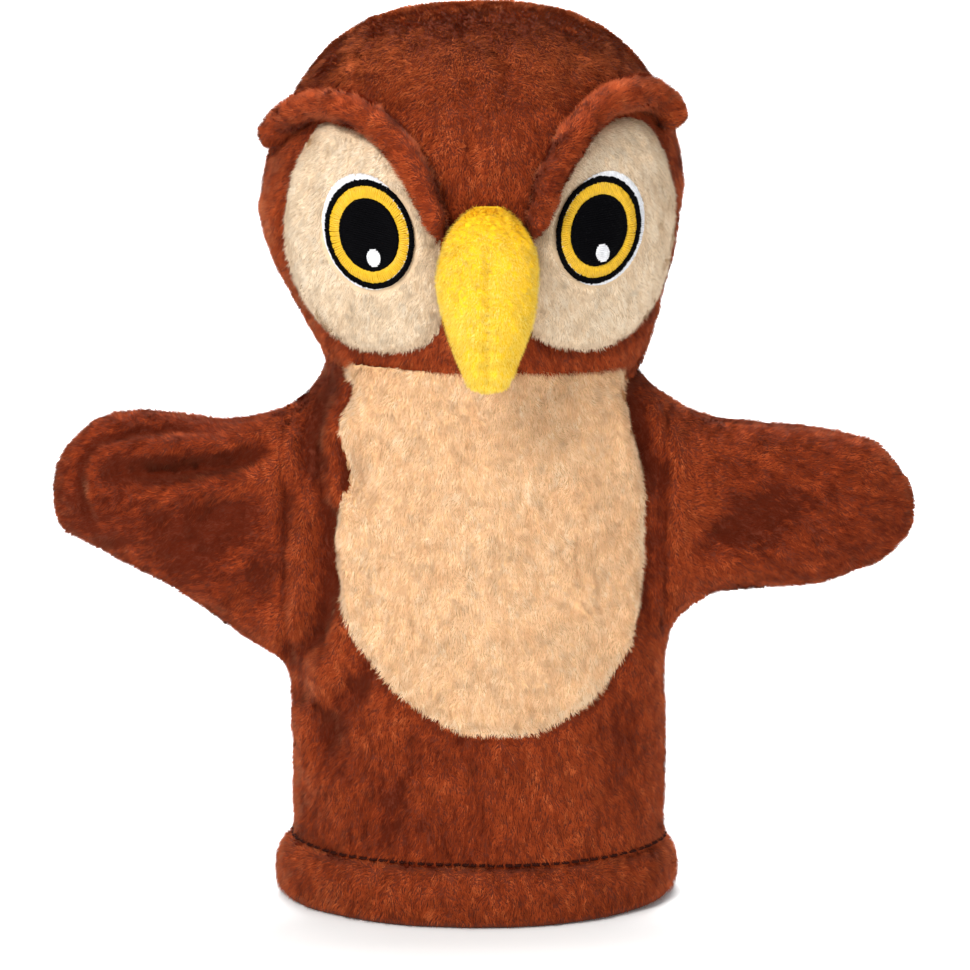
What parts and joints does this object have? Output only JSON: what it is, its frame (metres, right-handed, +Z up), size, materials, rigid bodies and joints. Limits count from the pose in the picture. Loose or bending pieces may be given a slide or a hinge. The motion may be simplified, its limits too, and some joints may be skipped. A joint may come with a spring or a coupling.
{
  "type": "owl glove puppet",
  "caption": "Plush owl hand puppet: stuffed head with embroidered eyes, brows and beak on a hollow glove body with two wings.",
  "frame": {"origin": "middle of the overall box, on the plane that the hem stands on", "axes": "+Z up along the glove, the face looks along -Y, +X is the puppet's own left"},
  "size_m": [0.238, 0.1104, 0.2464],
  "materials": {
    "brown_plush": "matte",
    "beige_plush": "matte",
    "yellow_plush": "matte",
    "white_thread": "matte",
    "black_thread": "matte",
    "yellow_thread": "matte",
    "dark_thread": "matte",
    "stuffing": "matte",
    "sleeve_cloth": "matte"
  },
  "bodies": {
    "glove": {"body_front": "brown_plush", "body_back": "brown_plush", "belly_patch": "beige_plush", "throat_patch": "beige_plush", "hem_band": "brown_plush", "hem_thread": "dark_thread", "collar_front": "brown_plush", "collar_back": "brown_plush"},
    "neck": {"finger_sleeve": "sleeve_cloth"},
    "head": {"right_face": "brown_plush", "left_face": "brown_plush", "right_head_back": "brown_plush", "left_head_back": "brown_plush", "right_brow": "brown_plush", "left_brow": "brown_plush", "right_eye_patch": "beige_plush", "left_eye_patch": "beige_plush", "beak_right": "yellow_plush", "beak_left": "yellow_plush", "right_eye_white": "white_thread", "left_eye_white": "white_thread", "right_glint": "white_thread", "left_glint": "white_thread", "right_eye_outline": "black_thread", "left_eye_outline": "black_thread", "right_pupil": "black_thread", "left_pupil": "black_thread", "right_iris": "yellow_thread", "left_iris": "yellow_thread", "beak_seam": "yellow_thread", "head_stuffing": "stuffing", "beak_stuffing": "stuffing"},
    "right_shoulder": {"right_wing_root": "brown_plush"},
    "right_wing": {"right_wing_front": "brown_plush", "right_wing_back": "brown_plush"},
    "left_shoulder": {"left_wing_root": "brown_plush"},
    "left_wing": {"left_wing_front": "brown_plush", "left_wing_back": "brown_plush"}
  },
  "joints": [
    {"name": "head_nod", "type": "hinge", "parent": "glove", "child": "neck", "pos_m": [-0.0025, 0.01, 0.134], "axis": [1, 0, 0], "range_deg": [-20, 25], "stiffness_Nm_per_rad": 0.25, "deforming": ["collar_front", "collar_back", "throat_patch"]},
    {"name": "head_turn", "type": "hinge", "parent": "neck", "child": "head", "pos_m": [-0.0025, 0.01, 0.153], "axis": [0, 0, 1], "range_deg": [-25, 25], "stiffness_Nm_per_rad": 0.05},
    {"name": "right_wing_raise", "type": "hinge", "parent": "glove", "child": "right_shoulder", "pos_m": [-0.052, 0.008, 0.1035], "axis": [0, 1, 0], "range_deg": [-25, 25], "stiffness_Nm_per_rad": 0.05, "deforming": ["right_wing_root"]},
    {"name": "right_wing_clap", "type": "hinge", "parent": "right_shoulder", "child": "right_wing", "pos_m": [-0.062, 0.008, 0.1035], "axis": [0, 0, 1], "range_deg": [-15, 50], "stiffness_Nm_per_rad": 0.03},
    {"name": "left_wing_raise", "type": "hinge", "parent": "glove", "child": "left_shoulder", "pos_m": [0.052, 0.008, 0.1035], "axis": [0, -1, 0], "range_deg": [-25, 25], "stiffness_Nm_per_rad": 0.05, "deforming": ["left_wing_root"]},
    {"name": "left_wing_clap", "type": "hinge", "parent": "left_shoulder", "child": "left_wing", "pos_m": [0.062, 0.008, 0.1035], "axis": [0, 0, -1], "range_deg": [-15, 50], "stiffness_Nm_per_rad": 0.03}
  ]
}
